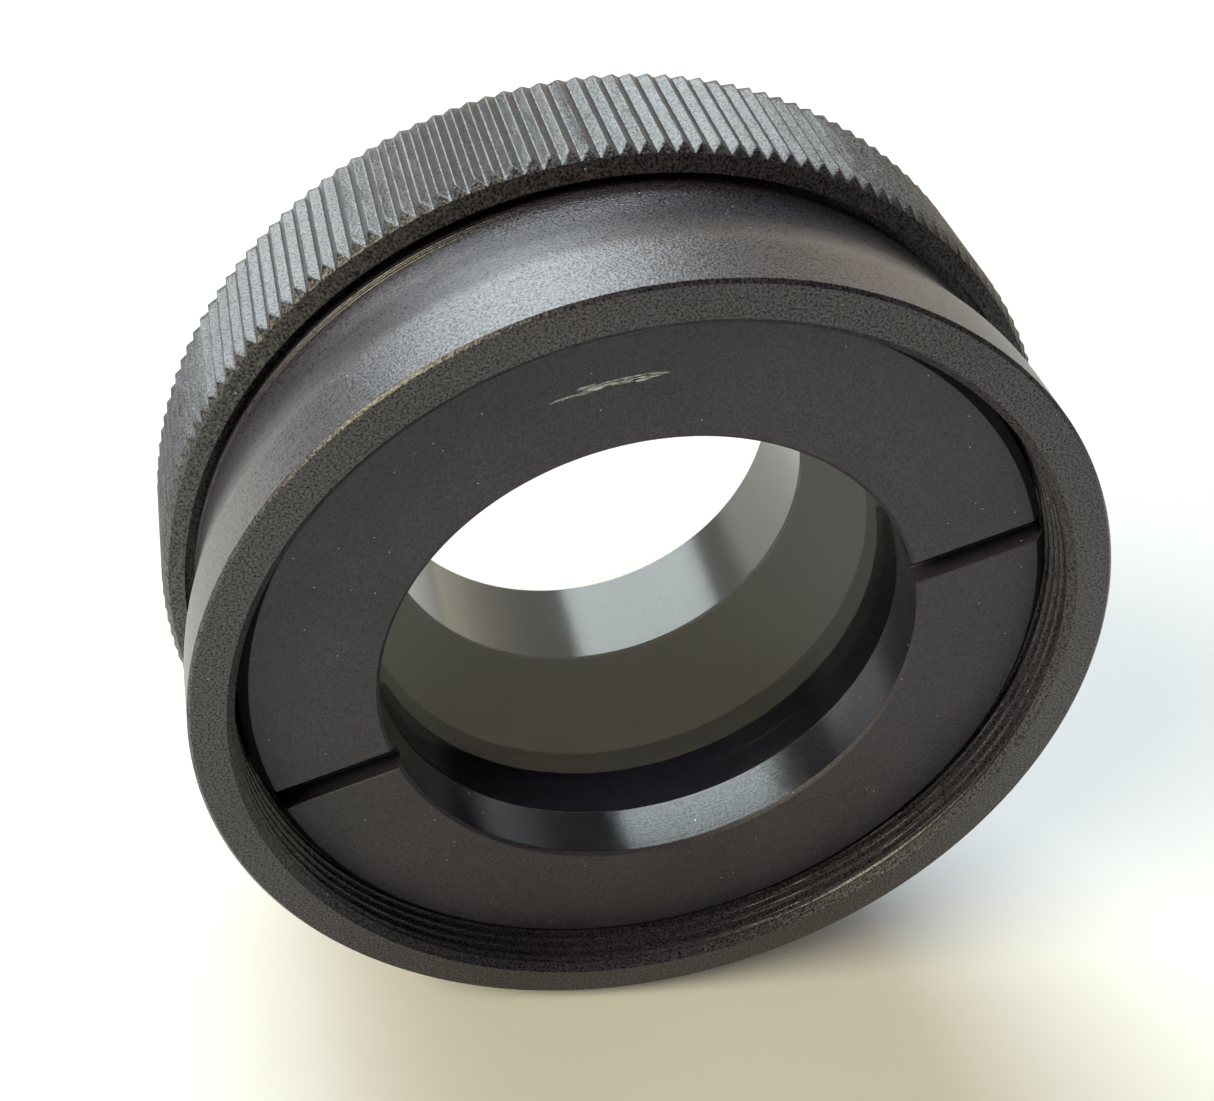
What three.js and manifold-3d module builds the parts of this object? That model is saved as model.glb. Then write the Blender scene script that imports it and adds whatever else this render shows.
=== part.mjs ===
// A screw-on window cell of the Barlow type, unit power: a turned aluminium lens cell with a flat
// window clamped by a slotted ring, carried by a knurled mounting ring with a male thread behind.
//
// Millimetres, +Z up. The object stands on the knurl. The optical axis runs along Y and the open
// front faces -Y. The origin is on the surface the object stands on, under the middle of its length.
// Every axial place below is a depth: the distance behind the flat face of the front rim.

import * as THREE from "three";
import { mergeVertices } from "three/addons/utils/BufferGeometryUtils.js";
import Module from "manifold-3d";

const wasm = await Module();
wasm.setup();

// ---- Driving dimensions ----

const OVERALL_LENGTH = 27.2;
const TURNED_SIDES = 90;

// Knurled grip
const KNURL_CREST_RADIUS = 27.0;
const KNURL_TEETH = 171;
const KNURL_DEPTH = 0.33;
const KNURL_CREST_SHARE = 0.1; // crest width as a share of the pitch
const GRIP_FRONT = 11.44;
const GRIP_REAR = 20.9;
const MOUTH_RADIUS = 25.7; // the open mouth round the cell's neck
const FRONT_CHAMFER_SLOPE = 0.37; // depth gained for each millimetre of radius, from the mouth outwards
const LEAD_RADIUS = 26.65; // where the shallow front chamfer turns into the steeper lead of the teeth
const LEAD_SLOPE = 1.5;
const REAR_CHAMFER = 0.4;

// Mounting thread and rear bore
const THREAD_RADIUS = 21.0; // M42 outside
const RELIEF_RADIUS = 20.3; // undercut where the thread meets the shoulder
const RELIEF_WIDTH = 2.1;
const THREAD_CHAMFER = 0.6;
const REAR_BORE_RADIUS = 13.6;
const REAR_WALL_FRONT = 19.7;

// Lens cell
const BAND_RADIUS = 26.1;
const RIM_CHAMFER = 0.3;
const BAND_END = 5.35;
const WAIST_RADIUS = 25.1;
const WAIST_SAG = 0.16; // how far the waist is hollowed below a straight cone
const WAIST_STEPS = 4;
const NECK_END = 12.4;
const FILTER_THREAD_RADIUS = 23.6; // M48 x 0.75 inside
const LIP_INNER_RADIUS = 24.05;
const SEAT_DEPTH = 8.1;
const CAVITY_RADIUS = 21.0;
const SPIGOT_RADIUS = 23.7;
const SPIGOT_END = 17.4;

// Clearances between the mounting ring and the cell that screws into it
const THREAD_CLEARANCE = 0.3;
const END_CLEARANCE = 0.3;

// Slotted retaining ring
const RETAINER_FRONT = 2.54;
const RETAINER_REAR = 6.19;
const RETAINER_RADIUS = 23.3;
const RETAINER_CHAMFER = 0.54;
const RETAINER_BORE_RADIUS = 15.6;
const BORE_EDGE_BREAK = 0.22;
const SLOT_WIDTH = 1.5;
const SLOT_DEPTH = 1.4;
const SLOT_ANGLE = 27; // degrees from +X towards +Z

// Window
const WINDOW_RADIUS = 23.2;
const WINDOW_FRONT = 6.24;
const WINDOW_THICKNESS = 1.8;
const WINDOW_BEVEL = 0.2;

// ---- Materials ----

const satinAnodised = new THREE.MeshStandardMaterial({ color: 0x2b2b2d, roughness: 0.42, metalness: 0.6 });
const knurlAnodised = new THREE.MeshStandardMaterial({ color: 0x303133, roughness: 0.5, metalness: 0.6 });
const matteAnodised = new THREE.MeshStandardMaterial({ color: 0x232024, roughness: 0.65, metalness: 0.4 });
const clearGlass = new THREE.MeshStandardMaterial({
  color: 0xdfe8e4,
  roughness: 0.03,
  metalness: 0,
  transparent: true,
  opacity: 0.3,
});

// ---- Making solids ----

// Revolves an outline of [radius, depth] corners about the optical axis. Drawn with radius to the
// right and depth upwards, the material is on the left of the path from each corner to the next.
// An outline that starts on the axis also ends on it; any other one closes on its first corner.
function turned(corners) {
  const outline = corners.map(([radius, depth]) => new THREE.Vector2(radius, depth - OVERALL_LENGTH / 2));
  const startsOnAxis = outline[0].x === 0;
  return new THREE.LatheGeometry(startsOnAxis ? outline : [...outline, outline[0]], TURNED_SIDES);
}

function solid(geometry) {
  const bare = geometry.clone();
  bare.deleteAttribute("normal");
  bare.deleteAttribute("uv");
  const merged = mergeVertices(bare, 1e-4);
  const mesh = new wasm.Mesh({
    numProp: 3,
    vertProperties: new Float32Array(merged.attributes.position.array),
    triVerts: new Uint32Array(merged.index.array),
  });
  return new wasm.Manifold(mesh);
}

function geometryOf(manifold) {
  const mesh = manifold.getMesh();
  const geometry = new THREE.BufferGeometry();
  geometry.setAttribute("position", new THREE.BufferAttribute(new Float32Array(mesh.vertProperties), 3));
  geometry.setIndex(new THREE.BufferAttribute(new Uint32Array(mesh.triVerts), 1));
  const faceted = geometry.toNonIndexed();
  faceted.computeVertexNormals();
  return faceted;
}

// A long prism whose section is the knurl: V teeth with narrow crests.
// A crest points straight down, so that the object stands on it.
function knurlPrism() {
  const pitch = (2 * Math.PI) / KNURL_TEETH;
  const halfCrest = (pitch * KNURL_CREST_SHARE) / 2;
  const rootRadius = KNURL_CREST_RADIUS - KNURL_DEPTH;
  const section = [];
  for (let tooth = 0; tooth < KNURL_TEETH; tooth += 1) {
    const middle = tooth * pitch + Math.PI / 2;
    for (const [angle, radius] of [
      [middle - halfCrest, KNURL_CREST_RADIUS],
      [middle + halfCrest, KNURL_CREST_RADIUS],
      [middle + pitch / 2, rootRadius],
    ]) {
      section.push(new THREE.Vector2(radius * Math.cos(angle), radius * Math.sin(angle)));
    }
  }
  const length = OVERALL_LENGTH + 2;
  const prism = new THREE.ExtrudeGeometry(new THREE.Shape(section), { depth: length, bevelEnabled: false });
  prism.rotateX(-Math.PI / 2);
  prism.translate(0, -length / 2, 0);
  return prism;
}

// ---- The pieces ----

// The knurled ring with its counterbore for the cell, its shoulder and its male thread.
function knurledMount() {
  const overCrest = 0.3;
  const blankRadius = KNURL_CREST_RADIUS + overCrest;
  const leadStart = GRIP_FRONT + (LEAD_RADIUS - MOUTH_RADIUS) * FRONT_CHAMFER_SLOPE;
  const threadBore = SPIGOT_RADIUS + THREAD_CLEARANCE;
  const blank = turned([
    [MOUTH_RADIUS, GRIP_FRONT],
    [LEAD_RADIUS, leadStart],
    [blankRadius, leadStart + (blankRadius - LEAD_RADIUS) * LEAD_SLOPE],
    [blankRadius, GRIP_REAR - REAR_CHAMFER - overCrest],
    [KNURL_CREST_RADIUS - REAR_CHAMFER, GRIP_REAR],
    [RELIEF_RADIUS, GRIP_REAR],
    [RELIEF_RADIUS, GRIP_REAR + RELIEF_WIDTH],
    [THREAD_RADIUS, GRIP_REAR + RELIEF_WIDTH + THREAD_RADIUS - RELIEF_RADIUS],
    [THREAD_RADIUS, OVERALL_LENGTH - THREAD_CHAMFER],
    [THREAD_RADIUS - THREAD_CHAMFER, OVERALL_LENGTH],
    [REAR_BORE_RADIUS, OVERALL_LENGTH],
    [REAR_BORE_RADIUS, REAR_WALL_FRONT],
    [CAVITY_RADIUS, REAR_WALL_FRONT],
    [CAVITY_RADIUS, SPIGOT_END + END_CLEARANCE],
    [threadBore, SPIGOT_END + END_CLEARANCE],
    [threadBore, NECK_END + END_CLEARANCE],
    [MOUTH_RADIUS, NECK_END + END_CLEARANCE],
  ]);
  return geometryOf(solid(blank).intersect(solid(knurlPrism())));
}

// The waist between the band and the grip: a cone hollowed by a shallow arc.
function waistCorners() {
  const corners = [];
  for (let step = 0; step <= WAIST_STEPS; step += 1) {
    const share = step / WAIST_STEPS;
    const cone = BAND_RADIUS + (WAIST_RADIUS - BAND_RADIUS) * share;
    const hollow = 4 * WAIST_SAG * share * (1 - share);
    corners.push([cone - hollow, BAND_END + (GRIP_FRONT - BAND_END) * share]);
  }
  return corners;
}

// The lens cell: front rim, internal thread, window seat, and the spigot that screws into the mount.
function lensCell() {
  return turned([
    [LIP_INNER_RADIUS, 0],
    [BAND_RADIUS - RIM_CHAMFER, 0],
    [BAND_RADIUS, RIM_CHAMFER],
    ...waistCorners(),
    [WAIST_RADIUS, NECK_END],
    [SPIGOT_RADIUS, NECK_END],
    [SPIGOT_RADIUS, SPIGOT_END],
    [CAVITY_RADIUS, SPIGOT_END],
    [CAVITY_RADIUS, SEAT_DEPTH],
    [FILTER_THREAD_RADIUS, SEAT_DEPTH],
    [FILTER_THREAD_RADIUS, LIP_INNER_RADIUS - FILTER_THREAD_RADIUS],
  ]);
}

// The flat ring that clamps the window, with one spanner slot across it.
function retainingRing() {
  const ring = turned([
    [RETAINER_BORE_RADIUS + BORE_EDGE_BREAK, RETAINER_FRONT],
    [RETAINER_RADIUS - RETAINER_CHAMFER, RETAINER_FRONT],
    [RETAINER_RADIUS, RETAINER_FRONT + RETAINER_CHAMFER],
    [RETAINER_RADIUS, RETAINER_REAR],
    [RETAINER_BORE_RADIUS, RETAINER_REAR],
    [RETAINER_BORE_RADIUS, RETAINER_FRONT + BORE_EDGE_BREAK],
  ]);
  const overrun = 1;
  const cutter = new THREE.BoxGeometry(2 * (RETAINER_RADIUS + overrun), SLOT_DEPTH + overrun, SLOT_WIDTH);
  cutter.translate(0, RETAINER_FRONT + (SLOT_DEPTH - overrun) / 2 - OVERALL_LENGTH / 2, 0);
  cutter.rotateY(THREE.MathUtils.degToRad(-SLOT_ANGLE));
  return geometryOf(solid(ring).subtract(solid(cutter)));
}

// The window: a flat glass disc with a fine bevel round each edge.
function windowGlass() {
  const rear = WINDOW_FRONT + WINDOW_THICKNESS;
  return turned([
    [0, WINDOW_FRONT],
    [WINDOW_RADIUS - WINDOW_BEVEL, WINDOW_FRONT],
    [WINDOW_RADIUS, WINDOW_FRONT + WINDOW_BEVEL],
    [WINDOW_RADIUS, rear - WINDOW_BEVEL],
    [WINDOW_RADIUS - WINDOW_BEVEL, rear],
    [0, rear],
  ]);
}

// ---- Assembly ----

const barlow = new THREE.Group();
barlow.position.z = KNURL_CREST_RADIUS;

function add(name, geometry, material) {
  const mesh = new THREE.Mesh(geometry, material);
  mesh.name = name;
  barlow.add(mesh);
}

add("knurled_mount", knurledMount(), knurlAnodised);
add("lens_cell", lensCell(), satinAnodised);
add("retaining_ring", retainingRing(), matteAnodised);
add("window_glass", windowGlass(), clearGlass);

export default barlow;
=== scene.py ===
"""Looks of the screw-on window cell: knurled mount, lens cell, slotted retaining ring and window.

The CAD frame is in metres. Shapes here are worked out in millimetres, as a radius from the optical
axis and a depth behind the front rim, and turned into metres when a mesh is made.
"""

import math

import bmesh
import bpy
import numpy as np
from mathutils import Matrix, Quaternion, Vector


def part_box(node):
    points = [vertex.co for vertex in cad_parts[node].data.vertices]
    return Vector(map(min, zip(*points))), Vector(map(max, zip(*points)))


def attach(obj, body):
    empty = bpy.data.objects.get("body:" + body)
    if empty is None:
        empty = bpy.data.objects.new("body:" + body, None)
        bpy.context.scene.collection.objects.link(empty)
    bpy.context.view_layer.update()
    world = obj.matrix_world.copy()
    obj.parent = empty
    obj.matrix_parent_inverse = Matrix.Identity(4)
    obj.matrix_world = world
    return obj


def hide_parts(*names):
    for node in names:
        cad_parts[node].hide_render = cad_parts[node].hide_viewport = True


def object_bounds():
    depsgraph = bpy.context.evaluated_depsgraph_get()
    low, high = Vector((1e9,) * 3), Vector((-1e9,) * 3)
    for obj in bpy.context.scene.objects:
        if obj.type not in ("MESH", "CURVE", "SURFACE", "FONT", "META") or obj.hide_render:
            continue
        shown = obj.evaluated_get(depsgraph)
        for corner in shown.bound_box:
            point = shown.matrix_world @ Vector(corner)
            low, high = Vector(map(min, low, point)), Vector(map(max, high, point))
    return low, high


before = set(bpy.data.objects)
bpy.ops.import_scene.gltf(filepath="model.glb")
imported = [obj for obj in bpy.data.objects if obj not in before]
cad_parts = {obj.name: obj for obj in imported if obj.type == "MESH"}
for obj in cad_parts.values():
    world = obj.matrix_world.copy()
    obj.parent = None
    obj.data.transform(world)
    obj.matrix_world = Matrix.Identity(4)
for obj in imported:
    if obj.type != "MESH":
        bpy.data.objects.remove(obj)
CAD_BOX = [list(corner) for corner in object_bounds()]
MM = 0.001

# ---- Places taken from the CAD frame, in millimetres ----

FRONT_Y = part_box("lens_cell")[0].y / MM
AXIS_HEIGHT = (CAD_BOX[0][2] + CAD_BOX[1][2]) / 2 / MM


def extent(node):
    """Front depth, rear depth and outer radius of a CAD node."""
    low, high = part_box(node)
    return low.y / MM - FRONT_Y, high.y / MM - FRONT_Y, (high.z - low.z) / 2 / MM


GRIP_FRONT, MOUNT_REAR, CREST_RADIUS = extent("knurled_mount")
_, SPIGOT_END, BAND_RADIUS = extent("lens_cell")
RING_FRONT, RING_REAR, RING_RADIUS = extent("retaining_ring")
GLASS_FRONT, GLASS_REAR, GLASS_RADIUS = extent("window_glass")

# ---- Driving dimensions, in millimetres ----

THREAD_PITCH = 0.75
EDGE_BREAK = 0.05  # how far every turned corner is rounded off
LARGEST_BREAK = 0.3  # the most that is rounded off, as a share of the shorter side
LEVEL_POINT = 1.5  # place of the point beside a rounding, in roundings
FINE_BREAK = 0.03  # the same for the rim and the front of the retaining ring
THREAD_STEP = 0.05  # gap left between a plain stretch and a thread
THREAD_RUN_OUT = 0.5  # pitches over which a thread fades in and out
THREAD_GROOVE_WIDTH = 0.72  # how steeply the groove's wave is cut off at the crest and the root

KNURL_TEETH = 171
KNURL_DEPTH = 0.33
KNURL_SECTION = (-0.5, -0.465, -0.43, -0.07, -0.035, 0.0, 0.035, 0.07, 0.43, 0.465)  # shares of a pitch
KNURL_ROUNDING = 0.14  # share of each flank that is rounded off at the crest, and again at the root
GRIP_REAR = 20.9
MOUTH_RADIUS = 25.7
FRONT_CHAMFER_SLOPE = 0.37
LEAD_RADIUS = 26.65
LEAD_SLOPE = 1.5
REAR_CHAMFER = 0.4
KNURL_ROWS = 16
KNURL_BASE_DROP = 0.06  # how far below the roots the grip's chamfers start
KNURL_ROOT_MARGIN = 0.03
LEAD_DROPS = (0.12, 0.05)  # how far below the teeth the two rings of the lead lie
LEAD_GAP = 0.08  # from the lead to the first row of the teeth
LEAD_JITTER = 0.02
REAR_DROP = 0.04
NICK_SIZE = 0.004
NICK_REACH = 0.08  # nicks are within this of the crest
MOUTH_STEPS = (0.4, 0.5)  # places on the front chamfer, outwards from the mouth
MOUTH_FACE_START = 0.1
MOUTH_FACE_END = 0.05
REAR_FACE_START = 0.15
THREAD_BORE = 24.0
THREAD_BORE_DEPTH = 0.3
THREAD_BORE_FRONT = 0.5  # plain stretches before and after the bore's thread
THREAD_BORE_REAR = 0.15
SPIGOT_END_CLEARANCE = 0.3
NECK_SEAT = 12.7
CAVITY_RADIUS = 21.0
MOUNT_THREAD_RADIUS = 21.0
MOUNT_THREAD_DEPTH = 0.42
RELIEF_RADIUS = 20.3
RELIEF_WIDTH = 2.1
THREAD_CHAMFER = 0.6
THREAD_START_DROP = 0.02
THREAD_END_DROP = 0.05
REAR_BORE_RADIUS = 13.6
REAR_BORE_CHAMFER = 0.12
REAR_WALL_BREAK = 0.1
REAR_WALL_FRONT = 19.7

RIM_CHAMFER = 0.18
LIP_INNER_RADIUS = 24.05
LIP_EDGE = 0.04
FILTER_THREAD_RADIUS = 23.6
FILTER_THREAD_DEPTH = 0.4
FILTER_THREAD_FRONT = 0.5
FILTER_THREAD_REAR = 0.5  # plain stretch between the thread and the window's seat
SEAT_DEPTH = 8.1
BAND_END = 5.35
WAIST_RADIUS = 25.18
WAIST_BLEND = 1.75  # how far before the band's end the hollow starts
WAIST_STEEPEST = (0.2, 0.6)  # shares of its length between which the hollow is steepest
WAIST_TURN_UP = 0.35  # slope at its rear end, upwards, as a share of the steepest
WAIST_GAP = 0.1  # between the hollow and the band, and the hollow and the first groove
WAIST_END = 11.44
WAIST_EDGE = (0.02, 0.1, 0.18)  # places of the edge behind the waist, from its end
WAIST_GROOVES = (10.75, 11.0, 11.2)
WAIST_GROOVE_SECTION = ((-0.05, 0.0), (-0.015, 0.03), (0.015, 0.03), (0.05, 0.0))  # place and depth
NECK_RADIUS = 25.02
NECK_END = 12.4
SPIGOT_RADIUS = 23.7
SPIGOT_THREAD_DEPTH = 0.38
SPIGOT_PLAIN = 0.3  # plain stretch before the thread
SPIGOT_THREAD_END = 0.4
SPIGOT_CHAMFER = 0.35

RING_CHAMFER = 0.54
RING_THREAD_DEPTH = 0.32
RING_BORE_RADIUS = 15.6
RING_BORE_BREAK = 0.22
RING_BORE_START = 1.2  # the outline starts and ends part-way along the bore
RING_BORE_END = 0.6
RING_EDGE = 0.04
RING_REAR_CHAMFER = 0.2
SLOT_WIDTH = 1.5
SLOT_DEPTH = 1.4
SLOT_ANGLE = 27  # degrees from +X towards +Z
SLOT_EDGE = 0.06
CUTTER_REACH = 1.0  # how far the slot cutter stands out of the ring

SCUFF_ANGLE = 109  # degrees from +X towards +Z
SCUFF_SPAN = 7
SCUFF_RADIUS = 19.6
SCUFF_WIDTH = 0.13
FLAKES = 30
FLAKE_CORNERS = 8
FLAKE_LENGTH = (0.3, 1.1)  # half of each flake's length, and then of its width
FLAKE_WIDTH = (0.015, 0.035)
FLAKE_RAGGED = (0.7, 1.3)
FLAKE_RISE = 0.006
FLAKE_SINK = 0.02

GLASS_BEVEL = 0.2
GLASS_MIDDLE = 2  # radius of the ring on which each face closes
ZONE_MARGIN = 0.01

CAMERA_PLACE = (-31.37, -81.79, 89.41)
CAMERA_AZIMUTH = 20.6  # the way it looks, in degrees
CAMERA_ELEVATION = -40.32
CAMERA_ROLL = 13.67
CAMERA_LENS = 51.75
CAMERA_SHIFT = (0.0326, 0.1149)  # sideways and up, in shares of the picture's longer side

# ---- Finishes and surroundings ----

FLOOR_SIZE = 6  # metres
BUMP_HEIGHT = 0.00004  # metres
CLOUD_SCALE = 150
DUST_SCALE = 900
DUST_REACH = 0.028  # radius of a speck, in shares of the dust's cells
ANODISED_IOR = 1.6
MATTE_BLACK_IOR = 1.25
GLASS_IOR = 1.52
SKY_STRENGTH = 2
OVERHEAD_START = 0.7  # height, as the sine of an elevation, at which the sky is the overhead colour
GRAIN_RANGE = (0.3, 0.7)  # the noise values that hold most of the grain
TURNING_MARKS = (40, 9000, 40)
DUST_COLOUR = (0.42, 0.4, 0.36, 1)
OVERHEAD_COLOUR = (0.04, 0.038, 0.048, 1)
HORIZON_GLOW_AZIMUTH = 38
SHINE_SPREAD = 0.32  # how far the grain raises and lowers the reflection, for a speckle of 1

COARSE = 2 * KNURL_TEETH
FINE = len(KNURL_SECTION) * KNURL_TEETH
ROWS_PER_PITCH = 14

# ---- Turned skins ----


class Skin:
    """A closed surface round the optical axis, made of rings of points.

    Drawn with radius to the right and depth upwards, the outline runs with the material on its left.
    """

    def __init__(self):
        self.points = []
        self.rings = []
        self.faces = []
        self.total = 0

    def ring(self, radius, depth, angles):
        count = len(angles)
        radius = np.broadcast_to(radius, count)
        depth = np.broadcast_to(depth, count)
        self.points.append(
            np.stack([radius * np.cos(angles), depth + FRONT_Y, radius * np.sin(angles) + AXIS_HEIGHT], 1)
        )
        self.rings.append(range(self.total, self.total + count))
        self.total += count

    def join(self, first, second):
        """Faces between two rings, whose counts are equal or a whole multiple of each other."""
        segments = min(len(first), len(second))
        a, b = len(first) // segments, len(second) // segments
        for i in range(segments):
            lower = [first[(i * a + k) % len(first)] for k in range(a + 1)]
            upper = [second[(i * b + k) % len(second)] for k in range(b + 1)]
            self.faces.append([lower[0], *upper, *reversed(lower[1:])])

    def object(self, name):
        for first, second in zip(self.rings, self.rings[1:] + self.rings[:1]):
            self.join(first, second)
        mesh = bpy.data.meshes.new(name)
        mesh.from_pydata(np.concatenate(self.points) * MM, [], self.faces)
        return finished(name, mesh)


def new_object(name, data):
    piece = bpy.data.objects.new(name, data)
    bpy.context.scene.collection.objects.link(piece)
    return piece


def shell_object(name, shell):
    """Faces the shell outwards and makes an object of it."""
    bmesh.ops.recalc_face_normals(shell, faces=shell.faces)
    mesh = bpy.data.meshes.new(name)
    shell.to_mesh(mesh)
    shell.free()
    return new_object(name, mesh)


def finished(name, mesh, sharp_degrees=35):
    mesh.validate()
    for polygon in mesh.polygons:
        polygon.use_smooth = True
    mesh.set_sharp_from_angle(angle=math.radians(sharp_degrees))
    return new_object(name, mesh)


def even_angles(count):
    return np.arange(count) * 2 * math.pi / count + math.pi / 2 - math.pi / KNURL_TEETH


def softened(corners, reach=EDGE_BREAK):
    """The outline with each corner rounded off by three points.

    One more point on each side keeps the shading of the long faces level up to the rounding.
    """
    corners = [np.array(corner, float) for corner in corners]
    outline = []
    for before, corner, after in zip(corners, corners[1:], corners[2:]):
        arrive, leave = before - corner, after - corner
        shortest = min(np.linalg.norm(arrive), np.linalg.norm(leave))
        step = min(reach, shortest * LARGEST_BREAK)
        arrive *= step / np.linalg.norm(arrive)
        leave *= step / np.linalg.norm(leave)
        middle = corner + (arrive + leave) * 0.25
        before_rounding, after_rounding = corner + arrive * LEVEL_POINT, corner + leave * LEVEL_POINT
        outline += [before_rounding, corner + arrive, middle, corner + leave, after_rounding]
    return [corners[0], *outline, corners[-1]]


def add_outline(skin, corners, angles, reach=EDGE_BREAK):
    for radius, depth in softened(corners, reach):
        skin.ring(radius, depth, angles)


def add_thread(skin, radius, cut, start, end, angles):
    """A right-hand thread between two depths, cut into the radius and fading out at both ends."""
    rows = max(2, round(abs(end - start) / THREAD_PITCH * ROWS_PER_PITCH))
    for depth in np.linspace(start, end, rows + 1):
        phase = 2 * math.pi * depth / THREAD_PITCH + angles
        groove = np.clip(0.5 - THREAD_GROOVE_WIDTH * np.cos(phase), 0, 1)
        to_end = min(abs(depth - start), abs(end - depth))
        run_out = min(1, to_end / (THREAD_PITCH * THREAD_RUN_OUT))
        skin.ring(radius - cut * groove * run_out, depth, angles)


# ---- Knurled mount ----


def knurl_angles():
    pitch = 2 * math.pi / KNURL_TEETH
    middles = np.arange(KNURL_TEETH) * pitch + math.pi / 2
    return (middles[:, None] + np.array(KNURL_SECTION)[None, :] * pitch).ravel()


def knurl_radii():
    """Radius of each point of the knurl's section: V teeth, rounded alike at the crest and the root."""
    fall = 2 * np.abs(np.array(KNURL_SECTION))
    near_end = np.minimum(fall, 1 - fall)
    rounded = near_end + np.clip(KNURL_ROUNDING - near_end, 0, None) ** 2 / (2 * KNURL_ROUNDING)
    fall = np.where(fall < 0.5, rounded, 1 - rounded)
    fall = (fall - KNURL_ROUNDING / 2) / (1 - KNURL_ROUNDING)
    return np.tile(CREST_RADIUS - KNURL_DEPTH * fall, KNURL_TEETH)


def add_knurl(skin, random):
    """The grip from its front chamfer to its rear chamfer. Grooves run out through both chamfers."""
    angles = knurl_angles()
    radii = knurl_radii()
    root = CREST_RADIUS - KNURL_DEPTH

    def front_depth(radius):
        past_lead = np.maximum(radius - LEAD_RADIUS, 0)
        return GRIP_FRONT + (radius - MOUTH_RADIUS) * FRONT_CHAMFER_SLOPE + past_lead * LEAD_SLOPE

    def rear_depth(radius):
        return GRIP_REAR - (radius - (CREST_RADIUS - REAR_CHAMFER))

    base = root - KNURL_BASE_DROP
    lowest = root - KNURL_ROOT_MARGIN
    skin.ring(base, front_depth(base), angles)
    lead_jitter = random.normal(0, LEAD_JITTER, FINE)
    for drop, jitter in zip(LEAD_DROPS, (0, lead_jitter)):
        led = np.maximum(radii - drop, lowest)
        skin.ring(led, front_depth(led) + jitter, angles)
    start, end = front_depth(radii) + LEAD_GAP, rear_depth(radii) - REAR_DROP
    nicks = random.normal(0, NICK_SIZE, (KNURL_ROWS + 1, FINE)) + random.normal(0, NICK_SIZE, FINE)
    on_crest = radii > CREST_RADIUS - NICK_REACH
    for row in range(KNURL_ROWS + 1):
        depth = start + (end - start) * row / KNURL_ROWS
        skin.ring(np.minimum(radii + nicks[row] * on_crest, CREST_RADIUS), depth, angles)
    broken = np.maximum(radii - REAR_DROP, lowest)
    skin.ring(broken, rear_depth(broken), angles)
    skin.ring(base, rear_depth(base), angles)


def knurled_mount():
    skin = Skin()
    angles = even_angles(COARSE)
    random = np.random.default_rng(7)
    add_outline(
        skin,
        [
            [MOUTH_RADIUS, NECK_SEAT - MOUTH_FACE_START],
            [MOUTH_RADIUS, GRIP_FRONT],
            *([MOUTH_RADIUS + step, GRIP_FRONT + step * FRONT_CHAMFER_SLOPE] for step in MOUTH_STEPS),
        ],
        angles,
    )
    add_knurl(skin, random)
    thread_start = GRIP_REAR + RELIEF_WIDTH + MOUNT_THREAD_RADIUS - RELIEF_RADIUS
    add_outline(
        skin,
        [
            [CREST_RADIUS - REAR_CHAMFER - REAR_FACE_START, GRIP_REAR],
            [RELIEF_RADIUS, GRIP_REAR],
            [RELIEF_RADIUS, GRIP_REAR + RELIEF_WIDTH],
            [MOUNT_THREAD_RADIUS - THREAD_START_DROP, thread_start],
        ],
        angles,
    )
    thread_end = MOUNT_REAR - THREAD_CHAMFER
    add_thread(skin, MOUNT_THREAD_RADIUS, MOUNT_THREAD_DEPTH, thread_start, thread_end, angles)
    add_outline(
        skin,
        [
            [MOUNT_THREAD_RADIUS - THREAD_END_DROP, thread_end + THREAD_END_DROP],
            [MOUNT_THREAD_RADIUS - THREAD_CHAMFER, MOUNT_REAR],
            [REAR_BORE_RADIUS + REAR_BORE_CHAMFER, MOUNT_REAR],
            [REAR_BORE_RADIUS, MOUNT_REAR - REAR_BORE_CHAMFER],
            [REAR_BORE_RADIUS, REAR_WALL_FRONT + REAR_WALL_BREAK],
            [REAR_BORE_RADIUS + REAR_WALL_BREAK, REAR_WALL_FRONT],
            [CAVITY_RADIUS, REAR_WALL_FRONT],
            [CAVITY_RADIUS, SPIGOT_END + SPIGOT_END_CLEARANCE],
            [THREAD_BORE, SPIGOT_END + SPIGOT_END_CLEARANCE],
            [THREAD_BORE, SPIGOT_END + THREAD_BORE_REAR],
        ],
        angles,
    )
    bore_thread_start = SPIGOT_END + THREAD_BORE_REAR - THREAD_STEP
    bore_thread_end = NECK_SEAT + THREAD_BORE_FRONT + 2 * THREAD_STEP
    add_thread(skin, THREAD_BORE, -THREAD_BORE_DEPTH, bore_thread_start, bore_thread_end, angles)
    add_outline(
        skin,
        [
            [THREAD_BORE, NECK_SEAT + THREAD_BORE_FRONT],
            [THREAD_BORE, NECK_SEAT],
            [MOUTH_RADIUS, NECK_SEAT],
            [MOUTH_RADIUS, NECK_SEAT - MOUTH_FACE_END],
        ],
        angles,
    )
    return skin.object("knurled_mount_turned")


# ---- Lens cell ----


def waist_corners(steps=24):
    """A hollow that leaves the band without an edge and turns up slightly towards the grip."""
    full, easing = WAIST_STEEPEST
    shares = (np.arange(steps) + 0.5) / steps
    falling = 1 - (1 + WAIST_TURN_UP) * (shares - easing) / (1 - easing)
    slopes = np.minimum(np.minimum(shares / full, 1), falling)
    drops = np.concatenate([[0], np.cumsum(slopes) / slopes.sum()])
    radii = BAND_RADIUS - (BAND_RADIUS - WAIST_RADIUS) * drops
    depths = np.linspace(BAND_END - WAIST_BLEND, WAIST_GROOVES[0] - WAIST_GAP, steps + 1)
    return zip(radii, depths)


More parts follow.
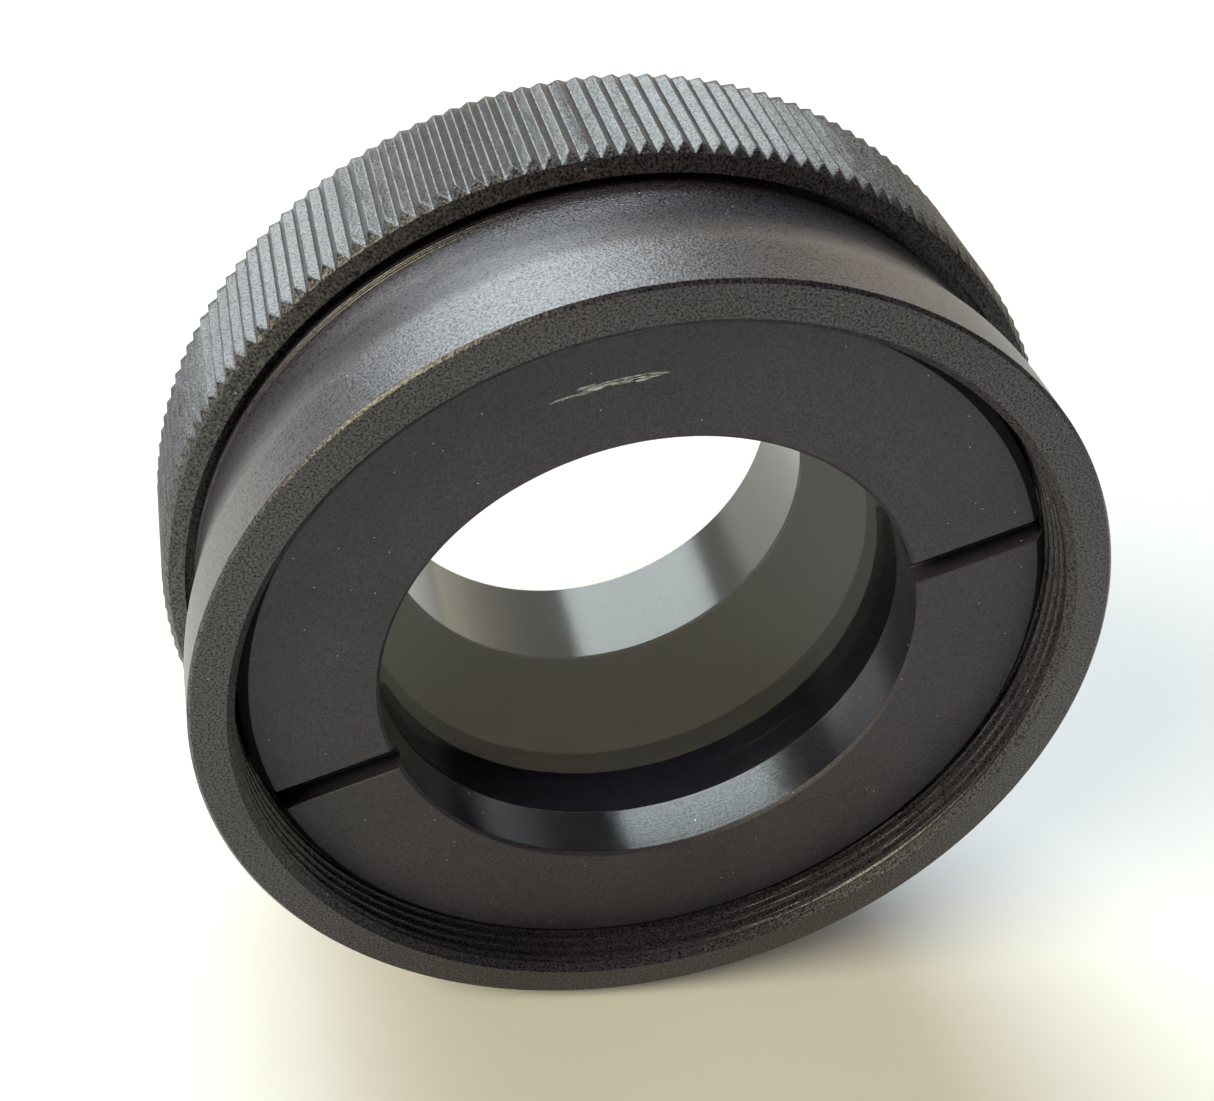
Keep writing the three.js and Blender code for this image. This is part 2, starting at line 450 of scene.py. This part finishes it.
def lens_cell():
    skin = Skin()
    angles = even_angles(COARSE)
    add_outline(
        skin,
        [
            [LIP_INNER_RADIUS - LIP_EDGE, LIP_EDGE],
            [LIP_INNER_RADIUS, 0],
            [BAND_RADIUS - RIM_CHAMFER, 0],
            [BAND_RADIUS, RIM_CHAMFER],
            [BAND_RADIUS, BAND_END - WAIST_BLEND - WAIST_GAP],
        ],
        angles,
        FINE_BREAK,
    )
    for radius, depth in waist_corners():
        skin.ring(radius, depth, angles)
    for depth in WAIST_GROOVES:
        for along, cut in WAIST_GROOVE_SECTION:
            skin.ring(WAIST_RADIUS - cut, depth + along, angles)
    add_outline(
        skin,
        [
            [WAIST_RADIUS, WAIST_END + WAIST_EDGE[0]],
            [WAIST_RADIUS, WAIST_END + WAIST_EDGE[1]],
            [NECK_RADIUS, WAIST_END + WAIST_EDGE[2]],
            [NECK_RADIUS, NECK_END],
            [SPIGOT_RADIUS, NECK_END],
            [SPIGOT_RADIUS, NECK_END + SPIGOT_PLAIN],
        ],
        angles,
    )
    thread_start = NECK_END + SPIGOT_PLAIN + THREAD_STEP
    thread_end = SPIGOT_END - SPIGOT_THREAD_END - THREAD_STEP
    add_thread(skin, SPIGOT_RADIUS, SPIGOT_THREAD_DEPTH, thread_start, thread_end, angles)
    add_outline(
        skin,
        [
            [SPIGOT_RADIUS, SPIGOT_END - SPIGOT_THREAD_END],
            [SPIGOT_RADIUS - SPIGOT_CHAMFER, SPIGOT_END],
            [CAVITY_RADIUS, SPIGOT_END],
            [CAVITY_RADIUS, SEAT_DEPTH],
            [FILTER_THREAD_RADIUS, SEAT_DEPTH],
            [FILTER_THREAD_RADIUS, SEAT_DEPTH - FILTER_THREAD_REAR],
        ],
        angles,
    )
    thread_rear = SEAT_DEPTH - FILTER_THREAD_REAR - THREAD_STEP
    add_thread(skin, FILTER_THREAD_RADIUS, -FILTER_THREAD_DEPTH, thread_rear, FILTER_THREAD_FRONT, angles)
    skin.ring(FILTER_THREAD_RADIUS, LIP_INNER_RADIUS - FILTER_THREAD_RADIUS, angles)
    return skin.object("lens_cell_turned")


# ---- Retaining ring ----


def retaining_ring():
    skin = Skin()
    angles = even_angles(COARSE)
    thread_front = RING_FRONT + RING_CHAMFER
    add_outline(
        skin,
        [
            [RING_BORE_RADIUS, RING_FRONT + RING_BORE_START],
            [RING_BORE_RADIUS, RING_FRONT + RING_BORE_BREAK],
            [RING_BORE_RADIUS + RING_BORE_BREAK, RING_FRONT],
            [RING_RADIUS - RING_CHAMFER, RING_FRONT],
            [RING_RADIUS - RING_EDGE, thread_front - RING_EDGE],
        ],
        angles,
        FINE_BREAK,
    )
    chamfer_front = RING_REAR - RING_REAR_CHAMFER
    add_thread(skin, RING_RADIUS, RING_THREAD_DEPTH, thread_front, chamfer_front - THREAD_STEP, angles)
    add_outline(
        skin,
        [
            [RING_RADIUS, chamfer_front],
            [RING_RADIUS - RING_REAR_CHAMFER, RING_REAR],
            [RING_BORE_RADIUS, RING_REAR],
            [RING_BORE_RADIUS, RING_REAR - RING_BORE_END],
        ],
        angles,
    )
    ring = skin.object("retaining_ring_slotted")
    cutter = slot_cutter()
    cut = ring.modifiers.new("slot", "BOOLEAN")
    cut.operation = "DIFFERENCE"
    cut.solver = "EXACT"
    cut.object = cutter
    slotted = bpy.data.meshes.new_from_object(ring.evaluated_get(bpy.context.evaluated_depsgraph_get()))
    bpy.data.objects.remove(ring)
    bpy.data.objects.remove(cutter)
    return finished("retaining_ring_slotted", slotted)


def slot_cutter():
    """A bar that cuts the spanner slot across the front face and breaks the slot's four long edges."""
    half, deep = SLOT_WIDTH / 2, RING_FRONT + SLOT_DEPTH
    side = [
        (half - SLOT_EDGE, deep),
        (half, deep - SLOT_EDGE),
        (half, RING_FRONT + SLOT_EDGE),
        (half + SLOT_EDGE, RING_FRONT - 0.001),
        (half + SLOT_EDGE * 3, RING_FRONT - CUTTER_REACH),
    ]
    section = [(-across, depth) for across, depth in reversed(side)] + side
    reach = RING_RADIUS + CUTTER_REACH
    turn = Matrix.Rotation(math.radians(-SLOT_ANGLE), 3, "Y")
    centre = Vector((0, FRONT_Y, AXIS_HEIGHT))
    shell = bmesh.new()
    ends = []
    for along in (-reach, reach):
        corners = [turn @ Vector((along, depth, across)) + centre for across, depth in section]
        ends.append([shell.verts.new(corner * MM) for corner in corners])
    count = len(section)
    for i in range(count):
        shell.faces.new([ends[0][i], ends[0][(i + 1) % count], ends[1][(i + 1) % count], ends[1][i]])
    shell.faces.new(ends[0][::-1])
    shell.faces.new(ends[1])
    return shell_object("slot_cutter", shell)


def paint_zone(piece, material, radii, depths):
    """Gives the faces between two radii and two depths another finish."""
    inner, outer = radii
    front, rear = depths
    piece.data.materials.append(material)
    for polygon in piece.data.polygons:
        x, y, z = polygon.center / MM
        if inner <= math.hypot(x, z - AXIS_HEIGHT) <= outer and front <= y - FRONT_Y <= rear:
            polygon.material_index = len(piece.data.materials) - 1


def scuff_flakes():
    """One worn streak of bare metal flakes along the ring's face, as a slipping spanner leaves."""
    random = np.random.default_rng(11)
    shell = bmesh.new()
    depths = (RING_FRONT - FLAKE_RISE, RING_FRONT + FLAKE_SINK)
    for _ in range(FLAKES):
        angle = math.radians(SCUFF_ANGLE + random.uniform(-SCUFF_SPAN, SCUFF_SPAN))
        radius = SCUFF_RADIUS + random.normal(0, SCUFF_WIDTH)
        outward = np.array([math.cos(angle), math.sin(angle)])
        along = np.array([-math.sin(angle), math.cos(angle)])
        length, width = random.uniform(*FLAKE_LENGTH), random.uniform(*FLAKE_WIDTH)
        outline = []
        for corner in range(FLAKE_CORNERS):
            turn = 2 * math.pi * corner / FLAKE_CORNERS
            reach = random.uniform(*FLAKE_RAGGED)
            across = outward * (radius + reach * width * math.cos(turn))
            outline.append(across + along * reach * length * math.sin(turn))
        front, rear = (
            [shell.verts.new(Vector((x, FRONT_Y + depth, z + AXIS_HEIGHT)) * MM) for x, z in outline]
            for depth in depths
        )
        shell.faces.new(front)
        shell.faces.new(rear[::-1])
        for i in range(FLAKE_CORNERS):
            after = (i + 1) % FLAKE_CORNERS
            shell.faces.new([front[i], rear[i], rear[after], front[after]])
    return shell_object("scuff_flakes", shell)


# ---- Window ----


def window_glass():
    """A flat disc with a ground bevel. Each face closes on a small ring round the axis."""
    skin = Skin()
    angles = even_angles(COARSE)
    corners = [
        [GLASS_MIDDLE, GLASS_FRONT],
        [GLASS_RADIUS - GLASS_BEVEL, GLASS_FRONT],
        [GLASS_RADIUS, GLASS_FRONT + GLASS_BEVEL],
        [GLASS_RADIUS, GLASS_REAR - GLASS_BEVEL],
        [GLASS_RADIUS - GLASS_BEVEL, GLASS_REAR],
        [GLASS_MIDDLE, GLASS_REAR],
    ]
    for radius, depth in corners:
        skin.ring(radius, depth, angles)
    mesh = bpy.data.meshes.new("window_disc")
    for first, second in zip(skin.rings, skin.rings[1:]):
        skin.join(first, second)
    faces = skin.faces + [list(skin.rings[0]), list(skin.rings[-1])[::-1]]
    mesh.from_pydata(np.concatenate(skin.points) * MM, [], faces)
    return finished("window_disc", mesh)


# ---- Materials ----


def new_material(name):
    material = bpy.data.materials.new(name)
    material.use_nodes = True
    nodes = material.node_tree.nodes
    return material, nodes, material.node_tree.links, nodes["Principled BSDF"]


def grey(value):
    return (value, value, value)


def noise(nodes, links, scale, detail, vector):
    texture = nodes.new("ShaderNodeTexNoise")
    texture.inputs["Scale"].default_value = scale
    texture.inputs["Detail"].default_value = detail
    links.new(vector, texture.inputs["Vector"])
    return texture.outputs["Fac"]


def ramp(nodes, links, value, stops):
    """A colour ramp from [place, colour] stops."""
    node = nodes.new("ShaderNodeValToRGB")
    elements = node.color_ramp.elements
    while len(elements) < len(stops):
        elements.new(0.5)
    for element, (place, colour) in zip(elements, stops):
        element.position = place
        element.color = (*colour, 1)
    links.new(value, node.inputs["Fac"])
    return node.outputs["Color"]


def bump(nodes, links, height, strength, normal=None):
    node = nodes.new("ShaderNodeBump")
    node.inputs["Strength"].default_value = strength
    node.inputs["Distance"].default_value = BUMP_HEIGHT
    links.new(height, node.inputs["Height"])
    if normal is not None:
        links.new(normal, node.inputs["Normal"])
    return node.outputs["Normal"]


def blend(nodes, links, mode, factor, first, second):
    """A colour mix. The factor and the two colours are each a socket or a plain value."""
    node = nodes.new("ShaderNodeMix")
    node.data_type = "RGBA"
    node.blend_type = mode
    for name, value in (("Factor", factor), ("A", first), ("B", second)):
        if isinstance(value, bpy.types.NodeSocket):
            links.new(value, node.inputs[name])
        else:
            node.inputs[name].default_value = value
    return node.outputs["Result"]


def dust_mask(nodes, links, place):
    """White in tiny specks scattered through space, black elsewhere."""
    cells = nodes.new("ShaderNodeTexVoronoi")
    cells.inputs["Scale"].default_value = DUST_SCALE
    links.new(place, cells.inputs["Vector"])
    stops = [(DUST_REACH, grey(1)), (DUST_REACH * 1.6, grey(0))]
    return ramp(nodes, links, cells.outputs["Distance"], stops)


def anodised(name, tint, roughness, grain_scale, speckle, grain_strength, marks_strength=0.0, shine=0.5):
    """Black anodised aluminium with fine grain, dust, a cloudy tone at a larger scale, and turning marks.

    Speckle is how far the grain lightens and darkens the tint. The turning marks run round the axis.
    """
    material, nodes, links, shader = new_material(name)
    place = nodes.new("ShaderNodeTexCoord").outputs["Object"]
    grain = noise(nodes, links, grain_scale, 3, place)
    dark = tuple(channel * (1 - speckle) for channel in tint)
    light = tuple(channel * (1 + speckle) for channel in tint)
    specks = ramp(nodes, links, grain, [(0.36, dark), (0.5, tint), (0.66, light)])
    cloud = noise(nodes, links, CLOUD_SCALE, 4, place)
    shades = (grey(0.8), grey(1.2))
    tone = ramp(nodes, links, cloud, list(zip(GRAIN_RANGE, shades)))
    metal = blend(nodes, links, "MULTIPLY", 1, specks, tone)
    dusty = blend(nodes, links, "MIX", dust_mask(nodes, links, place), metal, DUST_COLOUR)
    links.new(dusty, shader.inputs["Base Color"])
    rough = ramp(nodes, links, grain, list(zip(GRAIN_RANGE, map(grey, roughness))))
    links.new(rough, shader.inputs["Roughness"])
    spread = SHINE_SPREAD * speckle
    reflection = ramp(nodes, links, grain, [(0.36, grey(shine - spread)), (0.64, grey(shine + spread))])
    links.new(reflection, shader.inputs["Specular IOR Level"])
    normal = bump(nodes, links, grain, grain_strength)
    if marks_strength:
        stretch = nodes.new("ShaderNodeMapping")
        stretch.inputs["Scale"].default_value = TURNING_MARKS
        links.new(place, stretch.inputs["Vector"])
        marks = noise(nodes, links, 1, 4, stretch.outputs["Vector"])
        normal = bump(nodes, links, marks, marks_strength, normal)
    links.new(normal, shader.inputs["Normal"])
    shader.inputs["IOR"].default_value = ANODISED_IOR
    return material


def flat_black(name):
    """The dead black of the hollow behind the window."""
    material, nodes, links, shader = new_material(name)
    place = nodes.new("ShaderNodeTexCoord").outputs["Object"]
    grain = noise(nodes, links, 900, 3, place)
    shades = ((0.008, 0.006, 0.011), (0.014, 0.011, 0.018))
    tone = ramp(nodes, links, grain, list(zip(GRAIN_RANGE, shades)))
    links.new(tone, shader.inputs["Base Color"])
    shader.inputs["Roughness"].default_value = 0.75
    shader.inputs["IOR"].default_value = MATTE_BLACK_IOR
    return material


def bare_aluminium(name):
    """Scratched metal where the black layer is gone."""
    material, nodes, links, shader = new_material(name)
    place = nodes.new("ShaderNodeTexCoord").outputs["Object"]
    grain = noise(nodes, links, 6000, 4, place)
    tone = ramp(nodes, links, grain, [(0.3, grey(0.3)), (0.65, (0.75, 0.75, 0.73))])
    links.new(tone, shader.inputs["Base Color"])
    links.new(bump(nodes, links, grain, 0.8), shader.inputs["Normal"])
    shader.inputs["Metallic"].default_value = 0.3
    shader.inputs["Roughness"].default_value = 0.6
    return material


def glass(name):
    """Clear glass with a faint green tint and slight smears."""
    material, nodes, links, shader = new_material(name)
    place = nodes.new("ShaderNodeTexCoord").outputs["Object"]
    dust = noise(nodes, links, 900, 6, place)
    tone = ramp(nodes, links, dust, [(0.0, (0.97, 0.985, 0.975)), (1.0, (0.93, 0.96, 0.945))])
    links.new(tone, shader.inputs["Base Color"])
    smear = noise(nodes, links, 60, 3, place)
    rough = ramp(nodes, links, smear, [(0.35, grey(0.0)), (0.9, grey(0.03))])
    links.new(rough, shader.inputs["Roughness"])
    shader.inputs["Transmission Weight"].default_value = 1
    shader.inputs["IOR"].default_value = GLASS_IOR
    return material


def floor_material():
    """Pale card that darkens a little away from the object; the darkening is painted light falloff, not a
    change in the card.
    """
    material, nodes, links, shader = new_material("floor_card_painted_falloff")
    place = nodes.new("ShaderNodeTexCoord").outputs["Object"]
    distance = nodes.new("ShaderNodeVectorMath")
    distance.operation = "LENGTH"
    links.new(place, distance.inputs[0])
    # painted light falloff: the card's colour fades from the near distance to the far one
    near, far = (0.22, (0.86, 0.86, 0.85)), (0.6, (0.36, 0.34, 0.3))
    tone = ramp(nodes, links, distance.outputs["Value"], [near, far])
    links.new(tone, shader.inputs["Base Color"])
    shader.inputs["Roughness"].default_value = 0.8
    return material


# ---- Floor, light and camera ----


def make_floor():
    bpy.ops.mesh.primitive_plane_add(size=FLOOR_SIZE, location=(0, 0, 0))
    floor = bpy.context.object
    floor.name = "floor"
    floor.data.materials.append(floor_material())


def direction(azimuth, elevation):
    """A unit vector. Azimuth 0 is +Y and 90 is +X, in degrees."""
    a, e = math.radians(azimuth), math.radians(elevation)
    return Vector((math.sin(a) * math.cos(e), math.cos(a) * math.cos(e), math.sin(e)))


def area_light(name, azimuth, elevation, distance, size, radiance, colour):
    """A rectangular soft light that faces the middle of the object. Size is width and height in metres."""
    data = bpy.data.lights.new(name, "AREA")
    data.shape = "RECTANGLE"
    data.size, data.size_y = size
    data.color = colour
    data.energy = radiance * math.pi * size[0] * size[1]
    light = new_object(name, data)
    towards = direction(azimuth, elevation)
    light.location = Vector((0, 0, AXIS_HEIGHT * MM)) + towards * distance
    light.rotation_mode = "QUATERNION"
    light.rotation_quaternion = towards.to_track_quat("Z", "Y")
    light.visible_camera = False


def make_world():
    """Dim surroundings with one bright warm stretch of horizon, behind the object to its right."""
    world = bpy.data.worlds.new("studio")
    bpy.context.scene.world = world
    world.use_nodes = True
    nodes, links = world.node_tree.nodes, world.node_tree.links
    place = nodes.new("ShaderNodeTexCoord").outputs["Generated"]
    towards = nodes.new("ShaderNodeVectorMath")
    towards.operation = "DOT_PRODUCT"
    towards.inputs[1].default_value = direction(HORIZON_GLOW_AZIMUTH, 0)
    links.new(place, towards.inputs[0])
    dim, bright = (0.55, (0.05, 0.045, 0.05)), (0.97, (0.85, 0.76, 0.6))
    horizon = ramp(nodes, links, towards.outputs["Value"], [dim, bright])
    split = nodes.new("ShaderNodeSeparateXYZ")
    links.new(place, split.inputs["Vector"])
    height = nodes.new("ShaderNodeMapRange")
    height.inputs["From Max"].default_value = OVERHEAD_START
    links.new(split.outputs["Z"], height.inputs["Value"])
    sky = blend(nodes, links, "MIX", height.outputs["Result"], horizon, OVERHEAD_COLOUR)
    links.new(sky, nodes["Background"].inputs["Color"])
    nodes["Background"].inputs["Strength"].default_value = SKY_STRENGTH


def make_camera():
    data = bpy.data.cameras.new("camera")
    data.lens = CAMERA_LENS
    data.sensor_width = 36
    data.shift_x, data.shift_y = CAMERA_SHIFT
    data.clip_start, data.clip_end = 0.005, 20
    camera = new_object("camera", data)
    back = -direction(CAMERA_AZIMUTH, CAMERA_ELEVATION)
    roll = Quaternion((0, 0, 1), math.radians(CAMERA_ROLL))
    camera.location = Vector(CAMERA_PLACE) * MM
    camera.rotation_mode = "QUATERNION"
    camera.rotation_quaternion = back.to_track_quat("Z", "Y") @ roll
    bpy.context.scene.camera = camera


# ---- Assembly ----


def place(piece, body, node, slot, material):
    piece.data.materials.clear()
    piece.data.materials.append(material)
    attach(piece, body)
    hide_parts(node)


make_floor()
make_camera()
make_world()
area_light(
    "window",
    azimuth=-22,
    elevation=40,
    distance=0.95,
    size=(0.76, 1.0),
    radiance=6.5,
    colour=(0.88, 0.97, 1.0),
)
area_light(
    "warm_side",
    azimuth=-114,
    elevation=30,
    distance=0.8,
    size=(0.42, 0.42),
    radiance=13.2,
    colour=(1.0, 0.91, 0.62),
)

knurl_finish = anodised(
    "knurl_anodised",
    tint=(0.02, 0.018, 0.021),
    roughness=(0.28, 0.42),
    grain_scale=7000,
    speckle=0.8,
    grain_strength=0.8,
    shine=0.42,
)
satin_finish = anodised(
    "satin_anodised",
    tint=(0.023, 0.0195, 0.027),
    roughness=(0.26, 0.36),
    grain_scale=7500,
    speckle=0.75,
    grain_strength=0.8,
    marks_strength=0.4,
    shine=0.45,
)
matte_finish = anodised(
    "matte_anodised",
    tint=(0.022, 0.019, 0.029),
    roughness=(0.42, 0.55),
    grain_scale=9000,
    speckle=0.3,
    grain_strength=0.3,
    shine=0.42,
)
bore_finish = anodised(
    "bore_anodised",
    tint=(0.012, 0.01, 0.017),
    roughness=(0.13, 0.2),
    grain_scale=8000,
    speckle=0.3,
    grain_strength=0.05,
    marks_strength=0.15,
)
inner_finish = flat_black("inner_black")

mount = knurled_mount()
cell = lens_cell()
ring = retaining_ring()
place(mount, "knurled_mount", "knurled_mount", "knurl_anodised", knurl_finish)
place(cell, "lens_cell", "lens_cell", "satin_anodised", satin_finish)
place(ring, "retaining_ring", "retaining_ring", "matte_anodised", matte_finish)
place(window_glass(), "window_glass", "window_glass", "clear_glass", glass("clear_glass"))
paint_zone(
    mount,
    inner_finish,
    (REAR_BORE_RADIUS + 0.2, THREAD_BORE + 0.4),
    (GRIP_FRONT + 0.9, REAR_WALL_FRONT + ZONE_MARGIN),
)
paint_zone(mount, bore_finish, (0, REAR_BORE_RADIUS + ZONE_MARGIN), (REAR_WALL_FRONT, MOUNT_REAR))
paint_zone(
    cell,
    inner_finish,
    (0, FILTER_THREAD_RADIUS + ZONE_MARGIN),
    (SEAT_DEPTH - ZONE_MARGIN, SPIGOT_END + ZONE_MARGIN),
)
paint_zone(ring, bore_finish, (0, RING_BORE_RADIUS + ZONE_MARGIN), (RING_FRONT, RING_REAR))

scuff = scuff_flakes()
scuff.data.materials.append(bare_aluminium("bare_aluminium"))
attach(scuff, "retaining_ring")

bpy.context.scene.view_settings.view_transform = "Standard"
